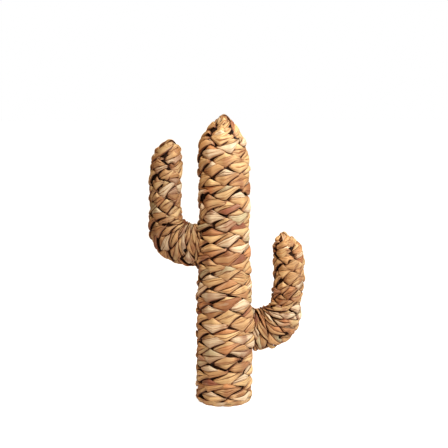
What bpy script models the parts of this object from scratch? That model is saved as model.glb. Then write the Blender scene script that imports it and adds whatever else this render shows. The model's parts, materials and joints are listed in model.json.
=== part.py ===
"""A rainstick in the shape of a woven cactus: a trunk that holds the rain tube, and two bent arms.

The trunk's axis is Z, the base stands on Z = 0 and the arms spread along X. Dimensions are in
metres. From the inside out the trunk holds a few loose pebbles, the rain tube with its cross pins
and end plugs, a cage of steel wires, and the woven skin. The arms are hollow: a wire frame each,
and a woven skin.
"""

from math import atan2, cos, pi, sin, sqrt

import bmesh
import bpy
from mathutils import Matrix, Vector

MM = 0.001
GAP = 0.3 * MM  # clearance between pieces that touch

# Driving dimensions
TRUNK_BASE_R = 57.5 * MM
TRUNK_WAIST_R = 52 * MM
TAPER_START, TAPER_END = 180 * MM, 340 * MM
DOME_START, TRUNK_TOP = 465 * MM, 580 * MM
TRUNK_DOME_POWER = 3.2

WIRE_R = 1.25 * MM
WIRE_DEPTH = 7.5 * MM  # from the woven skin's outside to a wire's centre
WELD_DEPTH = 1.7 * MM  # from the centre of an arm's wire to the centre of a ring welded inside it
SKIN = 5.5 * MM
WARPS = 10

BEND_R = 56 * MM  # of an arm's centreline
ARM_DEPTH_R = 36 * MM  # the most that an arm reaches to the front and the back of its centreline
ROOT_DEPTH_R = 22 * MM  # the same where it meets the trunk

TUBE_R, TUBE_WALL = 35 * MM, 3 * MM
BOARD_H = 9 * MM
FLANGE_H, SPIGOT_H = 8 * MM, 12 * MM
TUBE_TOP = 487 * MM
COLLAR_H = 6 * MM
PIN_COUNT, PIN_R, PIN_TURN = 18, 1.5 * MM, pi / 6
PEBBLE_COUNT, PEBBLE_R = 8, 3.2 * MM
SCREW_COUNT, SCREW_CIRCLE_R = 3, 18 * MM
RIM_H = 10 * MM
KNOT_H, TRUNK_KNOT_R = 12 * MM, 14 * MM

# Heights at which the trunk's outline is drawn
BODY_LEVELS = [TAPER_START, 235 * MM, 285 * MM, TAPER_END]
DOME_LEVELS = [DOME_START + (TRUNK_TOP - KNOT_H - GAP - DOME_START) * i / 7 for i in range(8)]

TUBE_BOTTOM = BOARD_H + GAP + FLANGE_H + GAP
PLUG_TOP = TUBE_BOTTOM + SPIGOT_H  # the floor that the pebbles rest on

# Each arm: side along X, height of its root, the root's half height, where it narrows (see
# arm_point), and the upright part's place, half width, top, bulge away from the trunk, lean of its
# tip towards it, and dome.
ARMS = {
    "left_arm": dict(side=-1, root_z=319.5 * MM, root_r=42 * MM, narrows=(1.5, 2.25),
                     upright_x=114.5 * MM, upright_r=32.5 * MM, top=531 * MM, bulge=2.5 * MM,
                     lean=9.5 * MM, dome=65 * MM, knot_r=13 * MM),
    "right_arm": dict(side=1, root_z=144 * MM, root_r=43.5 * MM, narrows=(1.4, 2.0),
                      upright_x=124.5 * MM, upright_r=32 * MM, top=344 * MM, bulge=7 * MM,
                      lean=5.5 * MM, dome=74 * MM, knot_r=12 * MM),
}
ARM_DOME_POWER = 4.7

MATERIALS = {
    "woven_stem": ((0.50, 0.31, 0.15), 0.65, 0.0),
    "steel_wire": ((0.16, 0.14, 0.13), 0.45, 0.9),
    "card_tube": ((0.42, 0.30, 0.19), 0.85, 0.0),
    "plywood": ((0.62, 0.46, 0.28), 0.6, 0.0),
    "bamboo": ((0.70, 0.55, 0.30), 0.5, 0.0),
    "pebble": ((0.38, 0.35, 0.31), 0.55, 0.0),
    "zinc_screw": ((0.60, 0.60, 0.58), 0.35, 1.0),
}


# ---------------------------------------------------------------- helpers

def clear_scene():
    for obj in list(bpy.data.objects):
        bpy.data.objects.remove(obj)


def make_material(name):
    colour, roughness, metallic = MATERIALS[name]
    material = bpy.data.materials.new(name)
    material.use_nodes = True
    shader = material.node_tree.nodes["Principled BSDF"]
    shader.inputs["Base Color"].default_value = (*colour, 1)
    shader.inputs["Roughness"].default_value = roughness
    shader.inputs["Metallic"].default_value = metallic
    return material


def place(name, data, material):
    obj = bpy.data.objects.new(name, data)
    bpy.context.scene.collection.objects.link(obj)
    obj.data.materials.append(bpy.data.materials.get(material) or make_material(material))
    return obj


def object_from(name, bm, material, smooth=True):
    """Turns a bmesh into an object, with its faces pointing out."""
    bmesh.ops.recalc_face_normals(bm, faces=bm.faces)
    mesh = bpy.data.meshes.new(name)
    bm.to_mesh(mesh)
    bm.free()
    if smooth:
        mesh.shade_smooth()
        mesh.set_sharp_from_angle(angle=pi / 5)
    return place(name, mesh, material)


def loft(bm, rings):
    """Bridges rings of points, one after another, and caps both ends. A ring of one point is a pole."""
    loops = [[bm.verts.new(p) for p in ring] for ring in rings]
    for low, high in zip(loops, loops[1:]):
        count = max(len(low), len(high))
        for i in range(count):
            j = (i + 1) % count
            corners = [low[i % len(low)], low[j % len(low)], high[j % len(high)], high[i % len(high)]]
            bm.faces.new(dict.fromkeys(corners))
    for end in (loops[0], loops[-1]):
        if len(end) > 2:
            bm.faces.new(end)


def round_rings(outline, count):
    """A ring of points for every (radius, z), or just one point where the radius is nought."""
    return [[Vector((r * cos(a), r * sin(a), z)) for a in turns(count if r > 0 else 1)] for r, z in outline]


def turned(name, outline, material, segments=36, start=0.0):
    """A body turned about Z from (radius, z) points, closed on the axis or along the last point."""
    bm = bmesh.new()
    verts = [bm.verts.new((r * cos(start), r * sin(start), z)) for r, z in outline]
    edges = [bm.edges.new(pair) for pair in zip(verts, verts[1:])]
    if outline[0][0] > 0:
        edges.append(bm.edges.new((verts[-1], verts[0])))
    bmesh.ops.spin(bm, geom=edges, axis=(0, 0, 1), cent=(0, 0, 0), steps=segments, angle=2 * pi)
    bmesh.ops.remove_doubles(bm, verts=bm.verts, dist=1e-6)
    return object_from(name, bm, material)


def wire(name, paths, closed=False):
    """Round wire along each path of points, as one object. Open ends are filled."""
    curve = bpy.data.curves.new(name, "CURVE")
    curve.dimensions = "3D"
    curve.bevel_depth = WIRE_R
    curve.bevel_resolution = 1
    curve.use_fill_caps = not closed
    for path in paths:
        spline = curve.splines.new("POLY")
        spline.points.add(len(path) - 1)
        for point, target in zip(spline.points, path):
            point.co = (*target, 1)
        spline.use_cyclic_u = closed
    return place(name, curve, "steel_wire")


def ring_points(radius, z, count=24):
    return [Vector((radius * cos(a), radius * sin(a), z)) for a in turns(count)]


def turns(count, start=0.0):
    return [start + 2 * pi * i / count for i in range(count)]


def boolean(obj, other, operation):
    modifier = obj.modifiers.new(operation.lower(), "BOOLEAN")
    modifier.operation = operation
    modifier.object = other
    other.hide_render = True
    other.display_type = "WIRE"


def levels_between(low, high, count):
    return [low + (high - low) * i / count for i in range(count + 1)]


def smoothstep(value, low, high):
    t = min(max((value - low) / (high - low), 0), 1)
    return t * t * (3 - 2 * t)


# ---------------------------------------------------------------- shapes of the woven skins

def trunk_radius(z):
    """Outer radius of the woven trunk: a slight taper, then a pointed dome."""
    body = TRUNK_BASE_R + (TRUNK_WAIST_R - TRUNK_BASE_R) * smoothstep(z, TAPER_START, TAPER_END)
    t = max(z - DOME_START, 0) / (TRUNK_TOP - DOME_START)
    return body * (1 - t ** TRUNK_DOME_POWER)


def trunk_point(z, depth):
    """(radius, z) of the point that lies under the trunk's surface at z by the given depth."""
    step = 0.1 * MM
    slope = (trunk_radius(z - step) - trunk_radius(z + step)) / (2 * step)
    scale = depth / sqrt(1 + slope ** 2)
    return trunk_radius(z) - scale, z - scale * slope


def arm_point(arm, s):
    """Centre, tangent and half width of an arm at s: 0 to 1 root, 1 to 2 bend, 2 to 3 upright."""
    bend_x = arm["upright_x"] - BEND_R
    bend_z = arm["root_z"] + BEND_R
    half = arm["root_r"] + (arm["upright_r"] - arm["root_r"]) * smoothstep(s, *arm["narrows"])
    if s < 1:
        centre = Vector((bend_x * s, 0, arm["root_z"]))
        tangent = Vector((1, 0, 0))
    elif s < 2:
        turn = (s - 1) * pi / 2
        centre = Vector((bend_x + BEND_R * sin(turn), 0, bend_z - BEND_R * cos(turn)))
        tangent = Vector((cos(turn), 0, sin(turn)))
    else:
        u = s - 2
        height = arm["top"] - bend_z
        offset = arm["bulge"] * sin(pi * u) - arm["lean"] * u ** 3
        slope = arm["bulge"] * pi * cos(pi * u) - 3 * arm["lean"] * u ** 2
        centre = Vector((arm["upright_x"] + offset, 0, bend_z + height * u))
        tangent = Vector((slope * smoothstep(u, 0, 0.3), 0, height)).normalized()
        t = max(height * (u - 1) + arm["dome"], 0) / arm["dome"]
        half *= 1 - t ** ARM_DOME_POWER
    centre.x *= arm["side"]
    tangent.x *= arm["side"]
    return centre, tangent, half


def arm_reach(half, s):
    """How far an arm reaches to the front and the back of its centreline at s: it's flatter at the root."""
    full = min(half, ARM_DEPTH_R)
    return ROOT_DEPTH_R + (full - ROOT_DEPTH_R) * smoothstep(s, 0.8, 1.8)


def arm_ring(arm, s, depth, count):
    """Points around an arm's section at s, under its surface by the given depth."""
    centre, tangent, half = arm_point(arm, s)
    slope = 0
    if s > 2:
        step = 0.001
        below, above = arm_point(arm, s - step), arm_point(arm, s)
        slope = (below[2] - above[2]) / (above[0] - below[0]).length
    inset = depth / sqrt(1 + slope ** 2)
    centre = centre - tangent * inset * slope
    across = Vector((tangent.z, 0, -tangent.x)) * (half - inset)
    front = Vector((0, arm_reach(half, s) - inset, 0))
    return [centre + across * cos(a) + front * sin(a) for a in turns(count)]


# ---------------------------------------------------------------- base

def screw_profile(grow):
    """(radius, z) of a countersunk screw, its head down at z = 0.5 mm, made larger by grow."""
    head, shank = 4 * MM + grow, 1.75 * MM + grow
    low = 0.5 * MM - grow
    return [(0, low), (head, low), (head, low + 0.6 * MM), (shank, 3.4 * MM),
            (shank, 17 * MM), (0, 20.5 * MM + grow)]


def screw_places():
    return [Matrix.Translation((SCREW_CIRCLE_R * cos(a), SCREW_CIRCLE_R * sin(a), 0))
            for a in turns(SCREW_COUNT, pi / 2)]


def make_screws():
    """Three slotted wood screws that hold the rain tube's lower plug to the board."""
    for number, spot in enumerate(screw_places(), 1):
        screw = turned(f"base_screw_{number}", screw_profile(0), "zinc_screw", 12)
        screw.matrix_world = spot
        bm = bmesh.new()
        bmesh.ops.create_cube(bm, size=1, matrix=Matrix.Diagonal((7 * MM, 0.9 * MM, 2 * MM, 1)))
        slot = object_from(f"slot_cutter_{number}", bm, "zinc_screw", smooth=False)
        slot.matrix_world = spot @ Matrix.Translation((0, 0, 0.3 * MM))
        boolean(screw, slot, "DIFFERENCE")


def screw_cutter():
    """All the screws' holes as one cutter, a little larger than the screws and open below."""
    bm = bmesh.new()
    outline = screw_profile(GAP)
    outline = [(0, -MM), (outline[1][0], -MM)] + outline[2:]
    for spot in screw_places():
        loft(bm, [[spot @ point for point in ring] for ring in round_rings(outline, 12)])
    return object_from("screw_hole_cutter", bm, "plywood")


def make_base(holes):
    """The plywood board that the stick stands on, inside the lowest wires."""
    radius = trunk_radius(0) - WIRE_DEPTH - WIRE_R - GAP
    edge = 0.8 * MM
    board = turned("base_board", [(0, 0), (radius - edge, 0), (radius, edge), (radius, BOARD_H - edge),
                                  (radius - edge, BOARD_H), (0, BOARD_H)], "plywood")
    boolean(board, holes, "DIFFERENCE")


# ---------------------------------------------------------------- rain tube

def make_plugs(holes):
    """Two turned plugs, each a flange outside the tube and a spigot inside it."""
    spigot, flange = TUBE_R - TUBE_WALL - GAP, TUBE_R
    start = BOARD_H + GAP
    lower = turned("lower_plug", [(0, start), (flange, start), (flange, start + FLANGE_H),
                                  (spigot, start + FLANGE_H), (spigot, PLUG_TOP), (0, PLUG_TOP)], "plywood")
    boolean(lower, holes, "DIFFERENCE")
    start = TUBE_TOP + GAP
    turned("upper_plug", [(0, TUBE_TOP - SPIGOT_H), (spigot, TUBE_TOP - SPIGOT_H), (spigot, start),
                          (flange, start), (flange, start + FLANGE_H), (0, start + FLANGE_H)], "plywood")


def pin_matrices():
    """The cross pins, evenly spaced up the tube, each turned a twelfth of a turn from the last."""
    first, last = PLUG_TOP + 16 * MM, TUBE_TOP - SPIGOT_H - 16 * MM
    lie_down = Matrix.Rotation(pi / 2, 4, "Y")
    for i in range(PIN_COUNT):
        z = first + (last - first) * i / (PIN_COUNT - 1)
        yield Matrix.Translation((0, 0, z)) @ Matrix.Rotation(PIN_TURN * i, 4, "Z") @ lie_down


def rod(bm, radius, length, matrix, segments):
    bmesh.ops.create_cone(bm, cap_ends=True, segments=segments, radius1=radius, radius2=radius,
                          depth=length, matrix=matrix)


def make_pins():
    """Bamboo dowels right across the tube: together they make a double helix."""
    length = 2 * (TUBE_R - 0.5 * MM)
    for number, matrix in enumerate(pin_matrices(), 1):
        bm = bmesh.new()
        rod(bm, PIN_R, length, Matrix.Identity(4), 6)
        object_from(f"rain_pin_{number:02d}", bm, "bamboo").matrix_world = matrix


def make_tube():
    """The card tube, drilled through for every pin. Each hole lies in the middle of a facet."""
    inner, facets = TUBE_R - TUBE_WALL, 36
    tube = turned("rain_tube", [(inner, TUBE_BOTTOM), (TUBE_R, TUBE_BOTTOM), (TUBE_R, TUBE_TOP),
                                (inner, TUBE_TOP)], "card_tube", facets, pi / facets)
    bm = bmesh.new()
    for matrix in pin_matrices():
        rod(bm, PIN_R + GAP, 2 * TUBE_R + 4 * MM, matrix, 6)
    boolean(tube, object_from("pin_hole_cutter", bm, "card_tube"), "DIFFERENCE")


def make_pebbles():
    """Loose pebbles on the lower plug, one in each of eight of the lanes that the pins leave clear."""
    lane_r = TUBE_R - TUBE_WALL - PEBBLE_R - 1.5 * MM
    for i in range(PEBBLE_COUNT):
        lane = PIN_TURN * (i + i // 2 + 0.5)
        bm = bmesh.new()
        bmesh.ops.create_icosphere(bm, subdivisions=2, radius=PEBBLE_R)
        for v in bm.verts:
            lump = 1 + 0.09 * sin(9 * v.co.x / PEBBLE_R / 4 + i) * cos(2 * v.co.y / PEBBLE_R + 2 * i)
            v.co = Vector((v.co.x * lump, v.co.y * (0.86 + 0.03 * (i % 4)), v.co.z * 0.9))
        bmesh.ops.rotate(bm, verts=bm.verts, matrix=Matrix.Rotation(1.3 * i, 3, "Z"))
        lift = GAP - min(v.co.z for v in bm.verts)
        pebble = object_from(f"pebble_{i + 1}", bm, "pebble")
        pebble.location = (lane_r * cos(lane), lane_r * sin(lane), PLUG_TOP + lift)


# ---------------------------------------------------------------- wire cage

def make_uprights():
    """Ten straight wires up the trunk, drawn together under the tip: the weave's warps."""
    path = [trunk_point(z, WIRE_DEPTH) for z in [2 * MM] + BODY_LEVELS + DOME_LEVELS]
    for number, a in enumerate(turns(WARPS, pi / WARPS), 1):
        points = [Vector((r * cos(a), r * sin(a), z)) for r, z in path]
        wire(f"trunk_wire_{number:02d}", [points])


def make_rings():
    """Rings of wire inside the uprights, and the collar that centres the rain tube's top."""
    heights = {"base_ring": BOARD_H + GAP + 2 * MM, "lower_ring": 165 * MM, "middle_ring": 320 * MM,
               "upper_ring": 455 * MM, "crown_ring": 530 * MM}
    for name, z in heights.items():
        reach, height = trunk_point(z, WIRE_DEPTH + 2 * WIRE_R + 2 * GAP)
        wire(name, [ring_points(reach, height)], closed=True)
    low = TUBE_TOP - COLLAR_H - 2 * MM
    outer = trunk_radius(low + COLLAR_H) - WIRE_DEPTH - WIRE_R - 2 * GAP
    inner = TUBE_R + GAP
    turned("tube_collar", [(inner, low), (outer, low), (outer, low + COLLAR_H), (inner, low + COLLAR_H)],
           "plywood")


def arm_stops(arm):
    """Places along an arm at which its outline is drawn: round the bend, and up the dome."""
    height = arm["top"] - arm["root_z"] - BEND_R
    dome, end = 3 - arm["dome"] / height, 3 - (KNOT_H + GAP) / height
    return levels_between(1.2, 2.2, 5) + levels_between(dome, end, 4)


def weld(frame, rings):
    """Joins two wire curves into one welded body."""
    graph = bpy.context.evaluated_depsgraph_get()
    meshes = []
    for obj in (frame, rings):
        name, material = obj.name, obj.data.materials[0].name
        bm = bmesh.new()
        bm.from_mesh(bpy.data.meshes.new_from_object(obj.evaluated_get(graph)))
        bmesh.ops.remove_doubles(bm, verts=bm.verts, dist=1e-6)
        bpy.data.objects.remove(obj)
        meshes.append(object_from(name, bm, material))
    boolean(*meshes, "UNION")


def make_arm_frame(name, arm):
    """An arm's warps, from the trunk's cage round the bend to the tip, welded to two rings."""
    stops = [1] + arm_stops(arm)
    cage_r = trunk_radius(arm["root_z"]) - WIRE_DEPTH + 2 * WIRE_R + GAP
    runs = [arm_ring(arm, s, WIRE_DEPTH, WARPS) for s in stops]
    paths = []
    for i in range(WARPS):
        end = runs[0][i].copy()
        end.x = arm["side"] * sqrt(cage_r ** 2 - end.y ** 2)
        paths.append([end] + [run[i] for run in runs])
    rings = [arm_ring(arm, s, WIRE_DEPTH + WELD_DEPTH, 2 * WARPS) for s in (1, stops[-5])]
    weld(wire(name, paths), wire(name + "_rings", rings, closed=True))


# ---------------------------------------------------------------- woven skins

def make_trunk_skin():
    """The trunk's woven skin: a shell, closed at the dome and open at the base, with the arms' mouths."""
    levels = [RIM_H + GAP] + BODY_LEVELS + DOME_LEVELS
    inside = [trunk_point(z, SKIN) for z in levels]
    outside = [trunk_point(z, 0) for z in levels]
    outline = [(0, inside[-1][1])] + inside[::-1] + outside + [(0, DOME_LEVELS[-1])]
    skin = turned("trunk_skin", outline, "woven_stem")
    for name, arm in ARMS.items():
        bm = bmesh.new()
        rings = [arm_ring(arm, s, SKIN, 24) for s in (0.3, 1)]
        loft(bm, rings)
        boolean(skin, object_from(name + "_mouth_cutter", bm, "woven_stem"), "DIFFERENCE")


def make_arm_skin(name, arm):
    """An arm's woven skin: a shell, closed at the tip and open where it meets the trunk."""
    stops = arm_stops(arm)
    rings = [arm_ring(arm, s, 0, 24) for s in [0.4, 1] + stops]
    bm = bmesh.new()
    loft(bm, rings)
    outer = object_from(name + "_skin", bm, "woven_stem")
    rings = [arm_ring(arm, s, SKIN, 24) for s in [0.2, 1] + stops]
    bm = bmesh.new()
    loft(bm, rings)
    hollow = object_from(name + "_hollow_cutter", bm, "woven_stem")
    boolean(outer, hollow, "DIFFERENCE")
    outline = [(trunk_radius(z) + GAP, z) for z in [RIM_H] + BODY_LEVELS + [DOME_START]]
    core = turned(name + "_trunk_cutter", [(0, RIM_H)] + outline + [(0, DOME_START)], "woven_stem")
    boolean(outer, core, "DIFFERENCE")


def make_rim():
    """The border round the foot of the weave, its lower edge rolled in."""
    outer = trunk_radius(0)
    inner = outer - SKIN
    roll = [(outer - 4 * MM * (1 - sin(a)), 4 * MM * (1 - cos(a))) for a in (0, pi / 6, pi / 3, pi / 2)]
    turned("base_rim", [(inner, RIM_H), (inner, 0)] + roll + [(outer, RIM_H)], "woven_stem")


def make_knot(name, base, axis, radius):
    """A tip's binding: a domed button over the gathered ends of the stems."""
    brim = 0.15 * KNOT_H
    dome = [(radius * cos(a), brim + (KNOT_H - brim) * sin(a)) for a in levels_between(0, pi / 2, 5)[:-1]]
    bm = bmesh.new()
    loft(bm, round_rings([(0, 0), (0.88 * radius, 0)] + dome + [(0, KNOT_H)], 18))
    knot = object_from(name, bm, "woven_stem")
    knot.location = base
    knot.rotation_euler = (0, atan2(axis.x, axis.z), 0)


def make_knots():
    make_knot("trunk_tip_knot", Vector((0, 0, TRUNK_TOP - KNOT_H)), Vector((0, 0, 1)), TRUNK_KNOT_R)
    for name, arm in ARMS.items():
        height = arm["top"] - arm["root_z"] - BEND_R
        base, axis, _ = arm_point(arm, 3 - KNOT_H / height)
        make_knot(name + "_tip_knot", base, axis, arm["knot_r"])


def main():
    clear_scene()
    holes = screw_cutter()
    make_base(holes)
    make_screws()
    make_plugs(holes)
    make_tube()
    make_pins()
    make_pebbles()
    make_uprights()
    make_rings()
    for name, arm in ARMS.items():
        make_arm_frame(name + "_frame", arm)
        make_arm_skin(name, arm)
    make_trunk_skin()
    make_rim()
    make_knots()


main()
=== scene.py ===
"""Looks of the woven cactus rainstick.

The woven skins are made strand by strand. A surface gives a point of the trunk's or an arm's
outside from an angle round it and a row up it. Two wefts, each of two flattened stems, spiral up
that surface. Each passes over every other wire and under the rest, so that its outer side shows
as a pointed leaf, and the two wefts' leaves lie staggered. The stems' colours, creases, partings and
stains are random, from fixed seeds.
"""

import json
from math import cos, pi, radians, sin

import bpy
import numpy as np
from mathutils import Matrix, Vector
from mathutils.bvhtree import BVHTree


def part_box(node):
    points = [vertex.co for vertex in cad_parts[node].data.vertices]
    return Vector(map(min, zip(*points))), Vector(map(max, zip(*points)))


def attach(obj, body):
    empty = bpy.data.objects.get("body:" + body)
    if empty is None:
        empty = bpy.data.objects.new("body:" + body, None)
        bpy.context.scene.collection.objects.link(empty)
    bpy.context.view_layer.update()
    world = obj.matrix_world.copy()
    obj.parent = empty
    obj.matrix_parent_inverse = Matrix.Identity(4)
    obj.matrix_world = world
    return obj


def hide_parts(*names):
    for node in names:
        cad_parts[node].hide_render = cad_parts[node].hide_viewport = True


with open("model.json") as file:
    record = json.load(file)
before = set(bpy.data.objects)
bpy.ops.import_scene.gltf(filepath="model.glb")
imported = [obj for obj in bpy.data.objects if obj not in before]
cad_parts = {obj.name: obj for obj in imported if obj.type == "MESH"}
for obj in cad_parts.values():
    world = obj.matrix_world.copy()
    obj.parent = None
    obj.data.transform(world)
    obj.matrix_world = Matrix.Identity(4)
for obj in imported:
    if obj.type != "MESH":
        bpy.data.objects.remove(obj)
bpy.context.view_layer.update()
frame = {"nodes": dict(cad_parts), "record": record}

MM = 0.001
WARPS = 10
WIRE_AZIMUTH = pi / WARPS  # of a skin's first wire
ARM_HEIGHTS = {-1: 319.5 * MM, 1: 144 * MM}  # of the arms' roots, by the side they stand on

# ---------------------------------------------------------------- surfaces


def smoothstep(value, low, high):
    t = np.clip((value - low) / (high - low), 0, 1)
    return t * t * (3 - 2 * t)


def count_rows(arc_steps, pitch):
    """Row numbers along a profile, from the lengths of its steps and the rows' pitch there."""
    return np.concatenate([[0], np.cumsum(arc_steps / pitch)])


class Trunk:
    """The trunk's outside: a slight taper up to a pointed dome."""

    WAIST_R = 52 * MM
    TAPER = (180 * MM, 340 * MM)
    DOME_START, DOME_POWER = 465 * MM, 3.2
    BELOW = 30 * MM  # how far the rows are counted on below the base
    LAST_WARPS = 7  # wires that are left at the tip
    LEAN = 2.5 * MM  # of the dome towards the left arm
    # How far the weave swells round an arm's root, and how far round and up that reaches
    COLLAR, COLLAR_TURN, COLLAR_HEIGHT = 7 * MM, 0.7, 38 * MM
    lowest = 7 * MM  # no stem goes below this height
    tone, tip_light = 1.17, 0.12  # how bright the stems are, and how much brighter they're painted towards the tip: painted light from above
    crowding = 0.30  # how much taller the passes are in the dome, as a share of a row
    gaps, stains = 26, 20  # how many places are parted and stained
    facet = 2.2 * MM  # how much further in the stems lie between the wires than on them

    def __init__(self):
        self.base_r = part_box("base_rim")[1].x
        self.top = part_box("trunk_tip_knot")[1].z
        self.z = np.linspace(-self.BELOW, self.top - 0.5 * MM, 1500)
        r = self.radius(self.z)
        pitch = np.interp(self.z[1:], [0, 200 * MM, 450 * MM], [14.5 * MM, 15.2 * MM, 16 * MM])
        self.rows = count_rows(np.hypot(np.diff(r), np.diff(self.z)), pitch)
        self.first_row = self.row_at(11.5 * MM) - 1
        self.last_row = self.row_at(self.top - 11 * MM)
        self.dome_row = self.row_at(500 * MM)

    def row_at(self, z):
        return np.interp(z, self.z, self.rows)

    def radius(self, z):
        body = self.base_r + (self.WAIST_R - self.base_r) * smoothstep(z, *self.TAPER)
        t = np.clip((z - self.DOME_START) / (self.top - self.DOME_START), 0, 1)
        return body * (1 - t ** self.DOME_POWER)

    def warps(self, row):
        return WARPS - (WARPS - self.LAST_WARPS) * smoothstep(row, self.dome_row, self.last_row)

    def point(self, angle, row):
        z = np.interp(row, self.rows, self.z)
        r = self.radius(z)
        for side, level in ARM_HEIGHTS.items():
            azimuth = pi if side < 0 else 0
            away = np.arccos(np.clip(np.cos(angle - azimuth), -1, 1)) / self.COLLAR_TURN
            r = r + self.COLLAR * np.exp(-away ** 2 - ((z - level) / self.COLLAR_HEIGHT) ** 4)
        lean = self.LEAN * smoothstep(z, 450 * MM, 520 * MM)
        return np.stack([r * np.cos(angle) - lean, r * np.sin(angle), z], -1)


class Arm:
    """An arm's outside: a root that butts onto the trunk, a bend, and an upright with a dome."""

    BEND_R, DEPTH_R, ROOT_DEPTH_R = 56 * MM, 36 * MM, 22 * MM
    ROOT_ROWS, BEND_ROWS = 2.6, 8.6  # the upright's rows come after these
    SLANT = 0.9  # rows by which the stems climb across the root
    SWELL = 1.3 * MM  # the root's stems stand out further
    DOME_POWER = 4.7
    LAST_WARPS = 6
    lowest = 0
    crowding = 0.36
    gaps, stains = 9, 8
    facet = 1.3 * MM

    def __init__(self, name, side, root_r, narrows, upright_r, bulge, lean, dome, pitches, tone, tip_light):
        skin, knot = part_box(name + "_skin"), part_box(name + "_tip_knot")
        self.tone, self.tip_light = tone, tip_light
        self.side, self.root_r, self.upright_r = side, root_r, upright_r
        self.narrows, self.bulge, self.lean, self.dome = narrows, bulge, lean, dome
        self.root_z = skin[0].z + root_r
        self.upright_x = abs(knot[0].x + knot[1].x) / 2 + lean
        self.bend_x, self.bend_z = self.upright_x - self.BEND_R, self.root_z + self.BEND_R
        self.height = knot[1].z - self.bend_z
        self.h = np.linspace(0, self.height, 800)
        steps = np.hypot(np.diff(self.half_at(self.h)), np.diff(self.h))
        pitch = np.interp(self.h[1:], [0, 0.3 * self.height, self.height], pitches)
        self.rows = self.ROOT_ROWS + self.BEND_ROWS + count_rows(steps, pitch)
        self.first_row = -1.2
        self.last_row = np.interp(self.height - 9 * MM, self.h, self.rows)
        self.dome_row = np.interp(self.height - dome, self.h, self.rows)

    def half_at(self, height, turn=1.0):
        """Half the width, at a height up the upright or a share of the bend's turn."""
        along = turn + 1 + height / self.height
        half = self.root_r + (self.upright_r - self.root_r) * smoothstep(along, *self.narrows)
        half = half + self.SWELL * (1 - smoothstep(along, 1.5, 2.1))
        t = np.clip((height - self.height + self.dome) / self.dome, 0, 1)
        return half * (1 - t ** self.DOME_POWER)

    def warps(self, row):
        return WARPS - (WARPS - self.LAST_WARPS) * smoothstep(row, self.dome_row, self.last_row)

    def point(self, angle, row):
        slanting = smoothstep(row, 0.0, 3.5) * (1 - smoothstep(row, 6.0, self.ROOT_ROWS + self.BEND_ROWS))
        row = row + self.SLANT * slanting * np.cos(angle)
        height = np.interp(row, self.rows, self.h)
        u = height / self.height
        turn = np.clip((row - self.ROOT_ROWS) / self.BEND_ROWS, 0, 1)
        half = self.half_at(height, turn)
        swing = turn * pi / 2
        depth = np.minimum(half, self.DEPTH_R)
        depth = self.ROOT_DEPTH_R + (depth - self.ROOT_DEPTH_R) * smoothstep(turn, -0.2, 0.8)
        seam = np.sqrt(TRUNK_R_AT_ARM[self.side] ** 2 - (depth * np.sin(angle)) ** 2) - 3.5 * MM
        root_x = seam + (self.bend_x - seam) * np.clip(row / self.ROOT_ROWS, 0, 1)
        root_x = root_x + 2 * MM * np.minimum(row, 0)
        offset = self.bulge * np.sin(pi * u) - self.lean * u ** 3
        x = np.where(turn > 0, self.bend_x + self.BEND_R * np.sin(swing) + offset, root_x)
        z = self.bend_z - self.BEND_R * np.cos(swing) + height
        across = half * np.cos(angle)
        x = self.side * (x + across * np.sin(swing) * self.side)
        z = z - across * np.cos(swing) * self.side
        return np.stack([x, depth * np.sin(angle), z], -1)


trunk = Trunk()
TRUNK_R_AT_ARM = {side: float(trunk.radius(np.array(level))) for side, level in ARM_HEIGHTS.items()}
# The left arm's lower tone paints it darker than the right arm: painted shade, where the trunk blocks the
# light from the right.
arms = {
    "left_arm": Arm("left_arm", side=-1, root_r=42 * MM, narrows=(1.5, 2.25), upright_r=32.5 * MM,
                    bulge=1.3 * MM, lean=9.5 * MM, dome=65 * MM, pitches=(12 * MM, 17 * MM, 12 * MM),
                    tone=0.86, tip_light=0.12),
    "right_arm": Arm("right_arm", side=1, root_r=43.5 * MM, narrows=(1.4, 2.0), upright_r=32 * MM,
                     bulge=7 * MM, lean=5.5 * MM, dome=74 * MM, pitches=(12 * MM, 15 * MM, 11 * MM),
                     tone=1.03, tip_light=0.30),
}


def normals(surface, angle, row):
    """Unit vectors that point out of a surface."""
    step = 0.02
    round_it = surface.point(angle + step, row) - surface.point(angle - step, row)
    up_it = surface.point(angle, row + step) - surface.point(angle, row - step)
    out = np.cross(round_it, up_it)
    return out / np.maximum(np.linalg.norm(out, axis=-1, keepdims=True), 1e-12)


# ---------------------------------------------------------------- strands

def srgb(r, g, b):
    c = np.array([r, g, b]) / 255
    return np.where(c < 0.04045, c / 12.92, ((c + 0.055) / 1.055) ** 2.4)


# Dried stems' colours, and how often each is drawn.
STEM_COLOURS = [
    (srgb(228, 190, 132), 0.42),  # straw
    (srgb(240, 216, 176), 0.20),  # pale straw
    (srgb(214, 168, 112), 0.20),  # tan
    (srgb(188, 138, 88), 0.08),  # brown
    (srgb(212, 152, 98), 0.05),  # orange
    (srgb(150, 88, 60), 0.02),  # red-brown
    (srgb(206, 190, 146), 0.03),  # grey-green
]
PALETTE = np.array([c for c, _ in STEM_COLOURS])
SHARES = np.array([s for _, s in STEM_COLOURS])
BROWN_AND_TIP_SHADE = srgb(150, 84, 46)  # a brown for random patches, and painted shade towards a pass's tips, where the stem dives in behind a wire
# What the sun and damp have turned some stems to
STAIN_COLOURS = [srgb(178, 116, 78), srgb(136, 68, 46), srgb(214, 140, 86), srgb(192, 178, 134)]

# A ring round a stem, as places across it from its lower edge (-1) to its upper edge (1): first
# those on its outer side, then back along its inner side.
OUTER_POINTS = np.sin(np.linspace(-pi / 2, pi / 2, 17))
INNER_POINTS = np.array([0.8, 0.3, -0.3, -0.8])
RING = np.concatenate([OUTER_POINTS, INNER_POINTS])
IS_OUTER = np.arange(len(RING)) < len(OUTER_POINTS)
MIDDLE = len(OUTER_POINTS) // 2

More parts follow.
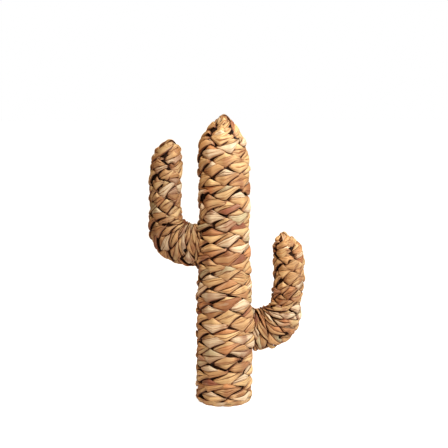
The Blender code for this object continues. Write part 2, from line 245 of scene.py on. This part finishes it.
FOLDS = 4  # creases along a woven stem
INNER_HEIGHT = 2.4 * MM  # how far a woven stem's inner side lies behind its middle plane
PARTING = 0.54  # the share of a weft's half height that is lost where the stems have parted
WEFT_TILTS = (-0.18, 0.26)  # rows by which each weft's passes rise to the right: they make chevrons


def scatter(surface, rng, count, wide, tall):
    """Random ovals on a surface: each one's middle, half its width and half its height."""
    angle = rng.uniform(0, 2 * pi, count)
    row = rng.uniform(surface.first_row + 2, surface.last_row - 2, count)
    return list(zip(surface.point(angle, row), rng.uniform(*wide, count), rng.uniform(*tall, count)))


def nearness(points, middle, wide, tall):
    """How near points are to an oval's middle: 1 there, 0 outside the oval."""
    away = points - middle
    across = np.hypot(away[..., 0], away[..., 1]) / wide
    return np.exp(-(across ** 2 + (away[..., 2] / tall) ** 2) ** 2)


def parted(points, gaps):
    """How far the stems have parted at points on the outside, 0 to 1."""
    return np.clip(sum(nearness(points, *gap) for gap in gaps), 0, 1)


def vary(values, x):
    """Values that are given at whole x, blended smoothly in between."""
    low = np.clip(np.floor(x).astype(int), 0, len(values) - 2)
    t = np.clip(x - low, 0, 1)
    t = t * t * (3 - 2 * t)
    if values.ndim > 1:
        t = t[:, None]
    return values[low] * (1 - t) + values[low + 1] * t


def drawn_colours(rng, count):
    picks = PALETTE[rng.choice(len(PALETTE), count, p=SHARES)]
    return picks * rng.uniform(0.86, 1.1, (count, 1))


def strand_mesh(name, rings, tint, along, across, shade):
    """A closed skin over rings of points, with what the stems' material reads."""
    count, around = rings.shape[:2]
    mesh = bpy.data.meshes.new(name)
    row = np.arange(count - 1)[:, None] * around
    i = np.arange(around)[None, :]
    j = (i + 1) % around
    quads = np.stack([row + i, row + around + i, row + around + j, row + j], -1).reshape(-1, 4)
    mesh.vertices.add(count * around)
    mesh.vertices.foreach_set("co", rings.reshape(-1).astype(np.float32))
    ends = [list(range(around)), [count * around - 1 - k for k in range(around)]]
    loops = np.concatenate([quads.reshape(-1), ends[0], ends[1]])
    mesh.loops.add(len(loops))
    mesh.loops.foreach_set("vertex_index", loops.astype(np.int32))
    starts = np.append(np.arange(len(quads)) * 4, [len(quads) * 4, len(quads) * 4 + around])
    mesh.polygons.add(len(starts))
    mesh.polygons.foreach_set("loop_start", starts.astype(np.int32))
    mesh.update(calc_edges=True)
    colour = mesh.attributes.new("tint", "FLOAT_COLOR", "POINT")
    rgba = np.concatenate([np.broadcast_to(tint[:, None, :], (count, around, 3)), shade[..., None]], -1)
    colour.data.foreach_set("color", rgba.reshape(-1).astype(np.float32))
    place = mesh.attributes.new("strand", "FLOAT_VECTOR", "POINT")
    vector = np.stack([np.broadcast_to(along[:, None], (count, around)),
                       np.broadcast_to(across[None, :], (count, around)),
                       np.full((count, around), float(sum(map(ord, name)) % 97))], -1)
    place.data.foreach_set("vector", vector.reshape(-1).astype(np.float32))
    mesh.shade_smooth()
    mesh.validate()
    obj = bpy.data.objects.new(name, mesh)
    bpy.context.scene.collection.objects.link(obj)
    return obj


def pass_shape(u, peak):
    """Half the height of a weft's leaf, in rows, at u from its left tip (-1) to its right tip (1).

    It's broad at the left, which is tucked under the others, and drawn out at the right, which lies
    on top of them. Past the tips the weft runs on inside.
    """
    soft, power = 0.10, 0.78

    def rise(t):
        return ((t + soft) ** power - soft ** power) / ((1 + soft) ** power - soft ** power)

    right, left = 1 - rise(np.clip(u, 0, 1)), 1.06 * rise(1 + np.clip(u, -1, 0))
    return peak * np.where(u > 0, right, left) + 0.04 + 0.08 * smoothstep(np.abs(u), 0.85, 1.0)


def fold_depths(rng, count, passes, u):
    """How deep the creases along a stem are, at each point of its rings."""
    folds = np.zeros((len(passes), len(RING)))
    for number in range(FOLDS):
        at = -0.72 + 0.48 * number + 0.18 * vary(rng.normal(0, 1, 2 * count), 2 * passes)
        deep = vary(rng.uniform(-0.2, 1.5, 2 * count), 2 * passes) * MM * (0.6 + 0.6 * np.abs(u))
        folds += np.maximum(deep, 0)[:, None] * np.exp(-((RING - at[:, None]) / 0.10) ** 2)
    return folds


def stem_tints(surface, rng, count, passes, u, row, middles, stains):
    """A stem's colour at each of its rings. `stains` are ovals on the surface and their colours."""
    tint = vary(drawn_colours(rng, count), passes)
    cloud = vary(rng.uniform(0.86, 1.1, 6 * count), 6 * passes)
    brown = smoothstep(vary(rng.uniform(0, 1, 3 * count), 3 * passes), 0.66, 1.0)[:, None] * 0.7
    # painted shade: darker towards each pass's tips, where the stem dives in
    brown = np.maximum(brown, 0.55 * smoothstep(np.abs(u), 0.5, 1.0)[:, None])
    tint = tint * (1 - brown) + BROWN_AND_TIP_SHADE * brown
    for oval, colour in stains:
        share = 0.8 * nearness(middles, *oval)[:, None]
        tint = tint * (1 - share) + colour * share
    # painted light: the stems are made brighter towards the tip, which faces the light from above
    tip_lighting = 1 + surface.tip_light * smoothstep(row, surface.dome_row - 3, surface.last_row)
    return tint * (cloud * tip_lighting)[:, None] * surface.tone


def weave_strand(surface, name, weft, ply, seed, pass_rings):
    """One stem of one weft, from the bottom of a surface to its top.

    `shared` draws what the weft's two stems have in common, `own` what this stem alone has, and
    `marks` the surface's parted and stained places. A pass is the stretch of a weft between two of
    the wires that it goes behind, and u runs from -1 to 1 along it. `front` is above 0 where this
    stem lies further out than the weft's other one.
    """
    shared = np.random.default_rng([seed, weft])
    own = np.random.default_rng([seed, weft, ply + 5])
    marks = np.random.default_rng([seed, 40])
    gaps = scatter(surface, marks, surface.gaps, (6 * MM, 13 * MM), (3 * MM, 6 * MM))
    ovals = scatter(surface, marks, surface.stains, (10 * MM, 22 * MM), (6 * MM, 15 * MM))
    stains = [(oval, STAIN_COLOURS[pick])
              for oval, pick in zip(ovals, marks.integers(len(STAIN_COLOURS), size=surface.stains))]
    turns = (surface.last_row - surface.first_row) / 2
    theta = np.linspace(0, 2 * pi * turns, int(turns * WARPS / 2 * pass_rings))
    row = surface.first_row + theta / pi
    warps = surface.warps(row)
    grown = (warps[1:] + warps[:-1]) / 2 * np.diff(theta) / (2 * pi)
    phase = np.concatenate([[0], np.cumsum(grown)])
    passes = phase / 2
    count = int(passes[-1]) + 3
    u = phase - 2 * np.round(passes)
    skew = vary(shared.uniform(-0.16, 0.16, count), passes)
    u = u + skew * (1 - u ** 2)

    peak = vary(shared.uniform(0.83, 1.02, count), passes)
    split = vary(shared.normal(0.08, 0.20, count), passes)
    slant = vary(shared.uniform(-0.05, 0.6, count), passes)
    front = vary(shared.choice([-1.0, 1.0], count, p=[0.65, 0.35]), passes) * (1 if ply else -1)
    drift = 0.10 * vary(shared.normal(0, 1, count), passes)
    tilt = vary(shared.normal(WEFT_TILTS[weft], 0.10, count), passes)
    tilt = tilt * (1 - 0.7 * smoothstep(row, surface.dome_row, surface.last_row - 1))
    drift = drift + tilt * u * (1 - smoothstep(np.abs(u), 0.88, 1.0))
    lap = vary(own.uniform(0.0, 0.15, count), passes)
    roll = vary(own.normal(0, 0.5, count), passes) * MM
    plump = vary(own.uniform(2.5, 4.0, count), passes) * MM
    ragged = 0.05 * vary(own.normal(0, 1, 4 * count), 4 * passes)

    peak = peak + surface.crowding * smoothstep(row, surface.dome_row - 1, surface.last_row - 1.5)
    edge = pass_shape(u, peak) + ragged
    angle = WIRE_AZIMUTH + theta + pi * weft
    top, bottom = (edge * (1 - PARTING * parted(surface.point(angle, row + drift + side * edge), gaps))
                   for side in (1, -1))
    middle = np.clip(split + slant * u, 0.05 - bottom, top - 0.05)
    low, high = (middle - lap, top) if ply else (-bottom, middle + lap)
    high = np.maximum(high, low + 0.14)
    centre, half = (low + high) / 2, (high - low) / 2

    out = 1 - smoothstep(np.abs(u - 0.05), 0.82, 0.98)
    depth = (3.5 + 0.7 * u ** 2 + 4.8 * (1 - out) - (1.05 * front + 2.0 * u) * out) * MM
    depth = depth + surface.facet * (np.abs(np.sin(pi * u)) - 0.45)
    plump = plump * smoothstep(half, 0.0, 0.42)

    dome = (1 - np.minimum(RING ** 2, 1)) ** 0.62
    height = np.where(IS_OUTER, plump[:, None], -INNER_HEIGHT) * dome
    folds = fold_depths(own, count, passes, u)
    height = height - np.where(IS_OUTER, folds, 0)
    depth_grid = depth[:, None] - height - roll[:, None] * RING

    rows = row[:, None] + drift[:, None] + centre[:, None] + half[:, None] * RING
    bend = 0.10 * np.sin(2 * angle + 0.8 * row + seed) + 0.08 * np.sin(3 * angle - 1.3 * row)
    rows = rows + bend[:, None]
    angles = np.broadcast_to((angle + 0.035 * np.sin(1.1 * row + 2 * angle + seed))[:, None], rows.shape)
    points = surface.point(angles, rows) - normals(surface, angles, rows) * depth_grid[..., None]
    points[..., 2] = np.maximum(points[..., 2], surface.lowest)

    tint = stem_tints(surface, own, count, passes, u, row, points[:, MIDDLE], stains)
    length = np.concatenate([[0], np.cumsum(np.linalg.norm(np.diff(points[:, MIDDLE], axis=0), axis=1))])
    # painted shade: darker in the creases and where the stem dives in behind the wires
    shade = np.clip(folds / MM * 0.9, 0, 1) + 0.7 * (1 - out)[:, None]
    # painted shadow along the lower edge of each leaf's right half, as cast by light from above
    shade = shade + 0.9 * smoothstep(-RING, 0.66, 0.95) * smoothstep(u, -0.2, 0.3)[:, None]
    return strand_mesh(name, points, tint, length, RING, np.clip(shade, 0, 1))


# ---------------------------------------------------------------- painted shade in crevices

REACH = 7 * MM  # how far away a neighbour adds painted shade to a stem
RAYS = 7
RAY_TURN = 2.4  # from one ray's azimuth to the next, near the golden angle
RAY_RISE = 0.45  # how far the rays are bent up, because the light comes from above


def paint_crevice_shade(objects):
    """Painted shade: stems are made darker where others close them in; it adds to the shade in each tint's
    alpha.

    From every point a few rays look out and up a short way, and the share that's blocked counts.
    """
    points, faces = [], []
    for obj in objects:
        start = len(points)
        points += [tuple(vertex.co) for vertex in obj.data.vertices]
        faces += [[start + index for index in face.vertices] for face in obj.data.polygons]
    tree = BVHTree.FromPolygons(points, faces)
    turn = np.arange(RAYS) * RAY_TURN
    tilt = np.sqrt((np.arange(RAYS) + 0.5) / RAYS)
    rays = np.stack([tilt * np.cos(turn), tilt * np.sin(turn), np.sqrt(1 - tilt ** 2)], -1)
    for obj in objects:
        count = len(obj.data.vertices)
        place, normal, tint = (np.empty(count * size, np.float32) for size in (3, 3, 4))
        obj.data.vertices.foreach_get("co", place)
        obj.data.vertices.foreach_get("normal", normal)
        obj.data.attributes["tint"].data.foreach_get("color", tint)
        place, normal, tint = place.reshape(-1, 3), normal.reshape(-1, 3), tint.reshape(-1, 4)
        side = np.cross(normal, (0.31, 0.52, 0.79))  # any direction that's square to the normal
        side /= np.maximum(np.linalg.norm(side, axis=1, keepdims=True), 1e-9)
        other = np.cross(normal, side)
        frames = np.stack([side, other, normal], 1)
        ways = np.einsum("rk,vkc->vrc", rays, frames) + (0, 0, RAY_RISE)
        ways /= np.linalg.norm(ways, axis=2, keepdims=True)
        starts = place + normal * 0.25 * MM
        hits = [sum(tree.ray_cast(start, way, REACH)[0] is not None for way in fan)
                for start, fan in zip(starts.tolist(), ways.tolist())]
        # painted shade: the share of blocked rays darkens the stem
        tint[:, 3] = np.clip(tint[:, 3] + 2.3 * (np.array(hits) / RAYS) ** 1.6 - 0.10, 0, 1)
        obj.data.attributes["tint"].data.foreach_set("color", tint.reshape(-1))


# ---------------------------------------------------------------- rim and tip bindings

def ribbon(name, path, out, half, plump, seed, twist=0.0):
    """A flattened stem along a path: `out` points away from the surface that it lies on."""
    rng = np.random.default_rng(seed)
    count = len(path)
    t = np.linspace(0, 1, count)
    along = np.gradient(path, axis=0)
    along /= np.linalg.norm(along, axis=1, keepdims=True)
    side = np.cross(out, along)
    side /= np.linalg.norm(side, axis=1, keepdims=True)
    turn = twist * np.sin(2 * pi * t)[:, None]
    side, out = side * np.cos(turn) + out * np.sin(turn), out * np.cos(turn) - side * np.sin(turn)
    dome = (1 - np.minimum(RING ** 2, 1)) ** 0.55
    height = np.where(IS_OUTER, plump, -0.7 * MM) * dome * np.ones((count, 1))
    folds = np.zeros_like(height)
    knots = max(count // 12, 3)
    for number in range(3):
        at = -0.6 + 0.6 * number + 0.15 * vary(rng.normal(0, 1, knots + 2), t * knots)
        deep = vary(rng.uniform(0.1, 0.8, knots + 2), t * knots) * MM
        folds += deep[:, None] * np.exp(-((RING - at[:, None]) / 0.15) ** 2)
    height = height - np.where(IS_OUTER, folds, 0)
    wide = half[:, None] * RING
    points = path[:, None] + side[:, None] * wide[..., None] + out[:, None] * height[..., None]
    points[..., 2] = np.maximum(points[..., 2], 0.2 * MM)
    tint = vary(drawn_colours(rng, knots + 2), t * knots)
    length = np.concatenate([[0], np.cumsum(np.linalg.norm(np.diff(path, axis=0), axis=1))])
    # painted shade in the creases: the deeper a fold, the darker
    return strand_mesh(name, points, tint, length, RING, np.clip(folds / MM * 0.8, 0, 1))


def rim_ribbons():
    """Two stems twisted together round the foot, outside the wires' lower ends."""
    twists, sway, slope = 7, 1.1 * MM, radians(-28)
    pieces = []
    radius = trunk.base_r - 3.0 * MM
    for number in range(2):
        angle = np.linspace(0, 2 * pi, 260)
        twist = twists * angle + pi * number
        reach = radius + sway * np.cos(twist)
        path = np.stack([reach * np.cos(angle), reach * np.sin(angle), 5.6 * MM + sway * np.sin(twist)], -1)
        out = np.stack([np.cos(angle) * cos(slope), np.sin(angle) * cos(slope),
                        np.full_like(angle, sin(slope))], -1)
        half = (4.8 + 0.5 * np.sin(5 * angle + number)) * MM
        pieces.append(ribbon(f"rim_stem_{number + 1}", path, out, half, 1.9 * MM, 70 + number, 0.2))
    return pieces


def tip_binding(name, node, seed, power, crossings):
    """The gathered ends at a tip: a core, and stems that cross over the top and are tucked in.

    `crossings` gives each stem's direction in degrees, and how far from the middle it crosses and
    its half width, both in mm.
    """
    low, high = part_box(node)
    middle = (low + high) / 2
    radius, rise = (high.y - low.y) / 2, high.z - low.z

    def height(reach):
        """The cap's height at a distance from its middle, which is given as a share of its radius."""
        over = np.maximum(reach - 1, 0)
        return low.z + rise * (1 - np.minimum(reach, 1) ** power) - over * radius * 1.6

    levels = np.linspace(1.3, 0.02, 14)
    around, core_r = 24, 0.93 * radius
    angle = np.linspace(2 * pi, 0, around, endpoint=False)
    rings = [np.stack([middle.x + core_r * q * np.cos(angle), middle.y + core_r * q * np.sin(angle),
                       np.full(around, height(q) - 2.0 * MM)], -1) for q in levels]
    # The core is a dark brown, with a constant painted shade of 0.3, as it lies under the crossing stems.
    tint = np.broadcast_to(srgb(120, 78, 48), (len(levels), 3))
    pieces = [strand_mesh(name + "_core", np.array(rings), tint, levels * radius,
                          np.linspace(-0.6, 0.6, around), np.full((len(levels), around), 0.3))]
    steps = 40
    for number, (turn, aside, half) in enumerate(crossings):
        way = np.array([np.cos(radians(turn)), np.sin(radians(turn))])
        aside = aside * MM + 1.2 * MM * np.linspace(-1, 1, steps) ** 2
        run = np.linspace(-1.22, 1.22, steps) * radius
        flat = run[:, None] * way + aside[:, None] * np.array([-way[1], way[0]])
        reach = np.linalg.norm(flat, axis=1) / radius
        level = height(np.sqrt(reach ** 2 + 0.012)) - 1.9 * MM + 0.45 * MM * number
        path = np.stack([middle.x + flat[:, 0], middle.y + flat[:, 1], level], -1)
        slope = power * rise / radius * np.minimum(reach, 1) ** (power - 1)
        out = np.stack([flat[:, 0] / radius * slope, flat[:, 1] / radius * slope, np.ones(steps)], -1)
        out /= np.linalg.norm(out, axis=1, keepdims=True)
        width = half * MM * (1 - 0.35 * np.minimum(reach, 1.2) ** 2)
        pieces.append(ribbon(f"{name}_{number + 1}", path, out, width, 1.7 * MM, [seed, number], 0.1))
    return pieces


# ---------------------------------------------------------------- materials

class Graph:
    """A material's node tree, built one node at a time."""

    def __init__(self, name):
        self.material = bpy.data.materials.new(name)
        self.material.use_nodes = True
        self.tree = self.material.node_tree
        self.shader = self.tree.nodes["Principled BSDF"]

    def add(self, kind, inputs=None, output=0, **settings):
        """A new node's output, given by its name or its number."""
        made = self.tree.nodes.new("ShaderNode" + kind)
        for name, value in settings.items():
            setattr(made, name, value)
        for key, value in (inputs or {}).items():
            self.feed(made.inputs[key], value)
        return made.outputs[output]

    def feed(self, socket, value):
        if isinstance(value, bpy.types.NodeSocket):
            self.tree.links.new(value, socket)
        else:
            socket.default_value = value

    def maths(self, operation, a, b=0.0):
        return self.add("Math", {0: a, 1: b}, operation=operation)

    def scaled(self, vector, scale):
        return self.add("VectorMath", {0: vector, 1: scale}, operation="MULTIPLY")

    def noise(self, vector, scale, detail=3.0, roughness=0.5):
        inputs = {"Vector": vector, "Scale": scale, "Detail": detail, "Roughness": roughness}
        return self.add("TexNoise", inputs)

    def span(self, value, low, high, to_low=0.0, to_high=1.0):
        inputs = {0: value, 1: low, 2: high, 3: to_low, 4: to_high}
        return self.add("MapRange", inputs, interpolation_type="SMOOTHSTEP")

    def mix(self, factor, a, b, blend="MIX"):
        inputs = {0: factor, 6: a, 7: b}
        return self.add("Mix", inputs, output=2, data_type="RGBA", blend_type=blend)

    def bump(self, height, distance, strength=1.0, normal=None):
        inputs = {"Height": height, "Distance": distance, "Strength": strength}
        if normal is not None:
            inputs["Normal"] = normal
        return self.add("Bump", inputs)

    def finish(self, colour, roughness, normal=None, **sockets):
        self.feed(self.shader.inputs["Base Color"], colour)
        self.feed(self.shader.inputs["Roughness"], roughness)
        if normal is not None:
            self.feed(self.shader.inputs["Normal"], normal)
        for name, value in sockets.items():
            self.shader.inputs[name.replace("_", " ")].default_value = value
        return self.material


def stem_material():
    """Flattened dried stems: fine lengthwise fibres, satin, and painted shade that darkens their edges,
    lower sides, creases and crevices.
    """
    g = Graph("woven_stem")
    strand = g.add("Attribute", attribute_name="strand", output="Vector")
    tint = g.add("Attribute", attribute_name="tint", output="Color")
    painted_shade = g.add("Attribute", attribute_name="tint", output="Alpha")
    across = g.add("SeparateXYZ", {0: strand}, output="Y")
    fine = g.noise(g.scaled(strand, (22, 9, 1)), 1.0, 4, 0.6)
    broad = g.noise(g.scaled(strand, (9, 2.6, 1)), 1.0, 2)
    blotch = g.noise(g.scaled(strand, (45, 1.2, 1)), 1.0, 2)
    fibres = g.add("CombineXYZ", {axis: g.span(fine, 0.25, 0.75, 0.74, 1.14) for axis in "XYZ"})
    colour = g.mix(1.0, tint, fibres, "MULTIPLY")
    colour = g.mix(g.span(broad, 0.52, 0.72, 0, 0.45), colour, (0.36, 0.17, 0.07, 1))
    colour = g.mix(g.span(blotch, 0.60, 0.78, 0, 0.35), colour, (0.80, 0.62, 0.40, 1))
    # painted shade: each stem darker and redder towards its lower edge, as under light from above
    colour = g.mix(g.span(across, -1.0, 0.2, 0.45, 0.0), colour, (0.34, 0.14, 0.05, 1))
    # painted shade: dark lines along both edges, in the seams between stems
    lower_edge_shade = g.span(across, -1.0, -0.82, 0.5, 0)
    upper_edge_shade = g.span(across, 0.88, 1.0, 0, 0.5)
    colour = g.mix(g.maths("MAXIMUM", lower_edge_shade, upper_edge_shade), colour, (0.16, 0.055, 0.018, 1))
    # painted shade from the tint's alpha: first a reddish brown, then near black
    colour = g.mix(g.span(painted_shade, 0.0, 0.6, 0.0, 0.85), colour, (0.72, 0.42, 0.24, 1), "MULTIPLY")
    colour = g.mix(g.span(painted_shade, 0.25, 1.0, 0.0, 0.92), colour, (0.06, 0.016, 0.007, 1))
    ridges = g.noise(g.scaled(strand, (7, 16, 1)), 1.0, 3, 0.6)
    normal = g.bump(ridges, 0.0006, 0.8)
    normal = g.bump(fine, 0.0003, 0.6, normal)
    rough = g.span(fine, 0.3, 0.7, 0.44, 0.62)
    return g.finish(colour, rough, normal, Specular_IOR_Level=0.4)


def shade_sheet_material():
    """A dark sheet inside the weave, painted shade: near black, dull and fibrous."""
    g = Graph("weave_inside")
    strand = g.add("Attribute", attribute_name="strand", output="Vector")
    fibres = g.noise(g.scaled(strand, (22, 9, 1)), 1.0, 4, 0.6)
    colour = g.mix(g.span(fibres, 0.3, 0.7), (0.022, 0.010, 0.006, 1), (0.045, 0.020, 0.010, 1))
    return g.finish(colour, 0.95, g.bump(fibres, 0.0005), Specular_IOR_Level=0.05)


def wire_material():
    g = Graph("steel_wire")
    where = g.add("TexCoord", output="Object")
    rust = g.noise(where, 180, 4)
    colour = g.mix(g.span(rust, 0.5, 0.7), (0.022, 0.018, 0.016, 1), (0.07, 0.03, 0.016, 1))
    return g.finish(colour, g.span(rust, 0.4, 0.7, 0.5, 0.75), g.bump(rust, 0.0002), Metallic=0.5)


def card_material():
    """Brown card, wound in a spiral with a seam."""
    g = Graph("card_tube")
    where = g.add("TexCoord", output="Object")
    x, y, z = (g.add("SeparateXYZ", {0: where}, output=axis) for axis in "XYZ")
    angle = g.maths("DIVIDE", g.maths("ARCTAN2", y, x), 2 * pi)
    turn = g.maths("FRACT", g.maths("ADD", angle, g.maths("MULTIPLY", z, 14)))
    seam = g.span(g.maths("ABSOLUTE", g.maths("SUBTRACT", turn, 0.5)), 0.0, 0.02, 1, 0)
    fibre = g.noise(g.scaled(where, (1, 1, 0.4)), 900, 4)
    colour = g.mix(g.span(fibre, 0.35, 0.7), (0.25, 0.165, 0.095, 1), (0.36, 0.25, 0.155, 1))
    colour = g.mix(seam, colour, (0.14, 0.09, 0.05, 1))
    return g.finish(colour, 0.85, g.bump(g.maths("SUBTRACT", fibre, seam), 0.0003))


def plywood_material():
    """Birch face veneer with darker glue lines round its edge."""
    veneer = 1.5 * MM
    g = Graph("plywood")
    where = g.add("TexCoord", output="Object")
    warp = g.noise(where, 9, 2)
    stretched, wander = g.scaled(where, (170, 9, 0)), g.scaled(warp, (0.8, 0, 0))
    grain = g.noise(g.add("VectorMath", {0: stretched, 1: wander}, operation="ADD"), 1.0, 5, 0.65)
    z = g.add("SeparateXYZ", {0: where}, output="Z")
    ply = g.maths("FRACT", g.maths("MULTIPLY", z, 1 / veneer))
    side = g.add("NewGeometry", output="Normal")
    upright = g.maths("ABSOLUTE", g.add("SeparateXYZ", {0: side}, output="Z"))
    on_edge = g.span(upright, 0.3, 0.7, 1, 0)
    colour = g.mix(g.span(grain, 0.3, 0.7), (0.50, 0.33, 0.175, 1), (0.66, 0.48, 0.29, 1))
    layer = g.mix(g.span(ply, 0.42, 0.58), (0.34, 0.21, 0.11, 1), (0.60, 0.43, 0.26, 1))
    colour = g.mix(on_edge, colour, layer)
    return g.finish(colour, g.span(grain, 0.3, 0.7, 0.68, 0.52), g.bump(grain, 0.0003))


def bamboo_material():
    g = Graph("bamboo")
    where = g.add("TexCoord", output="Object")
    fibre = g.noise(g.scaled(where, (1, 1, 6)), 420, 4, 0.6)
    colour = g.mix(g.span(fibre, 0.35, 0.65), (0.46, 0.32, 0.14, 1), (0.70, 0.55, 0.30, 1))
    return g.finish(colour, 0.5, g.bump(fibre, 0.0002))


def pebble_material():
    g = Graph("pebble")
    where = g.add("TexCoord", output="Object")
    speck = g.noise(where, 1400, 5, 0.7)
    tone = g.noise(where, 90, 2)
    colour = g.mix(g.span(tone, 0.35, 0.65), (0.20, 0.17, 0.14, 1), (0.42, 0.37, 0.31, 1))
    colour = g.mix(g.span(speck, 0.55, 0.62), colour, (0.62, 0.58, 0.52, 1))
    return g.finish(colour, g.span(speck, 0.4, 0.7, 0.4, 0.65), g.bump(speck, 0.0002))


def zinc_material():
    g = Graph("zinc_screw")
    where = g.add("TexCoord", output="Object")
    smear = g.noise(where, 600, 4)
    colour = g.mix(g.span(smear, 0.35, 0.7), (0.50, 0.49, 0.46, 1), (0.68, 0.68, 0.66, 1))
    return g.finish(colour, g.span(smear, 0.3, 0.7, 0.25, 0.45), g.bump(smear, 0.0001), Metallic=1.0)


# ---------------------------------------------------------------- assembly

def dress(obj, material, replaced=()):
    obj.data.materials.append(material)
    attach(obj, "stick")
    if replaced:
        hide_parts(*replaced)


def shade_sheet(name, surface):
    """A dark sheet inside a woven skin: painted shade, seen only as the dark behind its gaps."""
    around = 60
    rows = np.linspace(surface.first_row, surface.last_row, 90)
    angles = np.linspace(2 * pi, 0, around, endpoint=False)
    row_grid, angle_grid = np.meshgrid(rows, angles, indexing="ij")
    deep = (6.8 + 0.5 * np.sin(WARPS * angle_grid) * np.sin(pi * row_grid)) * MM
    outside = surface.point(angle_grid, row_grid) - normals(surface, angle_grid, row_grid) * deep[..., None]
    outside[..., 2] = np.maximum(outside[..., 2], 3 * MM)
    unread_tint = np.zeros((len(rows), 3))  # its material has a colour of its own
    along = rows * 16 * MM
    return strand_mesh(name, outside, unread_tint, along, np.linspace(0, 0.5, around),
                       np.zeros(outside.shape[:2]))


# Each tip's steepness, and its crossings: see tip_binding
TIPS = {
    "trunk": (1.35, [(100, 2, 7), (160, -3, 6.5), (60, 4, 6), (15, 0.5, 5.5)]),
    "left_arm": (2.0, [(90, 0, 7), (150, -2, 6), (10, 0, 9.5)]),
    "right_arm": (1.7, [(100, 1, 6.5), (25, 3, 5.5), (150, -1, 6)]),
}


def weave_all(material, inside):
    """The strands of the trunk and both arms, then the rim and the tips' bindings."""
    skins = {"trunk": (trunk, 20), "left_arm": (arms["left_arm"], 16), "right_arm": (arms["right_arm"], 16)}
    stems = []
    for seed, (name, (surface, pass_rings)) in enumerate(skins.items(), 3):
        for weft in range(2):
            for ply in range(2):
                label = f"{name}_weft_{'ab'[weft]}_stem_{ply + 1}"
                obj = weave_strand(surface, label, weft, ply, seed, pass_rings)
                dress(obj, material, [name + "_skin"])
                stems.append(obj)
        # each skin's dark sheet is painted shade behind its gaps
        dress(shade_sheet(name + "_weave_inside", surface), inside, [name + "_skin"])
    for obj in rim_ribbons():
        dress(obj, material, ["base_rim"])
        stems.append(obj)
    for seed, (name, (power, crossings)) in enumerate(TIPS.items(), 2):
        for obj in tip_binding(name + "_tip_stem", name + "_tip_knot", seed, power, crossings):
            dress(obj, material, [name + "_tip_knot"])
            stems.append(obj)
    paint_crevice_shade(stems)


def paint_nodes():
    """The CAD nodes that stay get detailed materials by their slots in the record."""
    made = {"steel_wire": wire_material(), "card_tube": card_material(), "plywood": plywood_material(),
            "bamboo": bamboo_material(), "pebble": pebble_material(), "zinc_screw": zinc_material()}
    for part in frame["record"]["subparts"]:
        if part["material_slot"] in made:
            node = frame["nodes"][part["node"]]
            node.data.materials.clear()
            node.data.materials.append(made[part["material_slot"]])


def add_light(name, place, target, size, power, colour):
    data = bpy.data.lights.new(name, "AREA")
    data.shape, data.size = "DISK", size
    data.energy, data.color = power, colour
    light = bpy.data.objects.new(name, data)
    light.location = place
    light.rotation_euler = (Vector(target) - Vector(place)).to_track_quat("-Z", "Y").to_euler()
    bpy.context.scene.collection.objects.link(light)


def studio():
    """A pale floor, a surround that looks white but glows a dim warm brown, and two lights.

    The key light is small and high, in front at the right. The other is broad, cool and at the side.
    """
    g = Graph("floor")
    tone = g.noise(g.add("TexCoord", output="Object"), 2, 2)
    white = g.mix(tone, (0.93, 0.93, 0.93, 1), (0.96, 0.96, 0.96, 1))
    seen = g.add("LightPath", output="Is Camera Ray")
    g.feed(g.shader.inputs["Emission Strength"], g.maths("MULTIPLY", seen, 0.95))
    g.finish(white, 0.9, Emission_Color=(1, 1, 1, 1))
    mesh = bpy.data.meshes.new("floor")
    reach = 30
    mesh.from_pydata([(-reach, -reach, 0), (reach, -reach, 0), (reach, reach, 0), (-reach, reach, 0)], [],
                     [(0, 1, 2, 3)])
    floor = bpy.data.objects.new("floor", mesh)
    floor.data.materials.append(g.material)
    bpy.context.scene.collection.objects.link(floor)
    world = bpy.data.worlds.new("surround")
    bpy.context.scene.world = world
    world.use_nodes = True
    tree = world.node_tree
    blend = tree.nodes.new("ShaderNodeMix")
    blend.data_type = "RGBA"
    blend.inputs[6].default_value = (0.30, 0.18, 0.088, 1)
    blend.inputs[7].default_value = (1, 1, 1, 1)
    tree.links.new(tree.nodes.new("ShaderNodeLightPath").outputs["Is Camera Ray"], blend.inputs[0])
    tree.links.new(blend.outputs[2], tree.nodes["Background"].inputs[0])
    add_light("key", (0.42, -1.05, 1.62), (0, 0, 0.35), 0.28, 28, (0.96, 0.97, 1))
    add_light("side", (1.5, -0.5, 0.8), (0, 0, 0.3), 1.0, 11.5, (0.70, 0.86, 1))


def camera():
    """In front of the figure, a little to its left and above, looking slightly down."""
    data = bpy.data.cameras.new("camera")
    data.lens, data.sensor_width = 74.8, 36
    data.clip_end = 200
    obj = bpy.data.objects.new("camera", data)
    away, turned, target = 1.85, radians(-7), Vector((0, 0, 0.3615))
    place = Vector((away * sin(turned), -away * cos(turned), 0.60))
    obj.location = place
    obj.rotation_euler = (target - place).to_track_quat("-Z", "Y").to_euler()
    bpy.context.scene.collection.objects.link(obj)
    bpy.context.scene.camera = obj


bpy.context.scene.view_settings.view_transform = "Standard"
camera()
studio()
weave_all(stem_material(), shade_sheet_material())
paint_nodes()
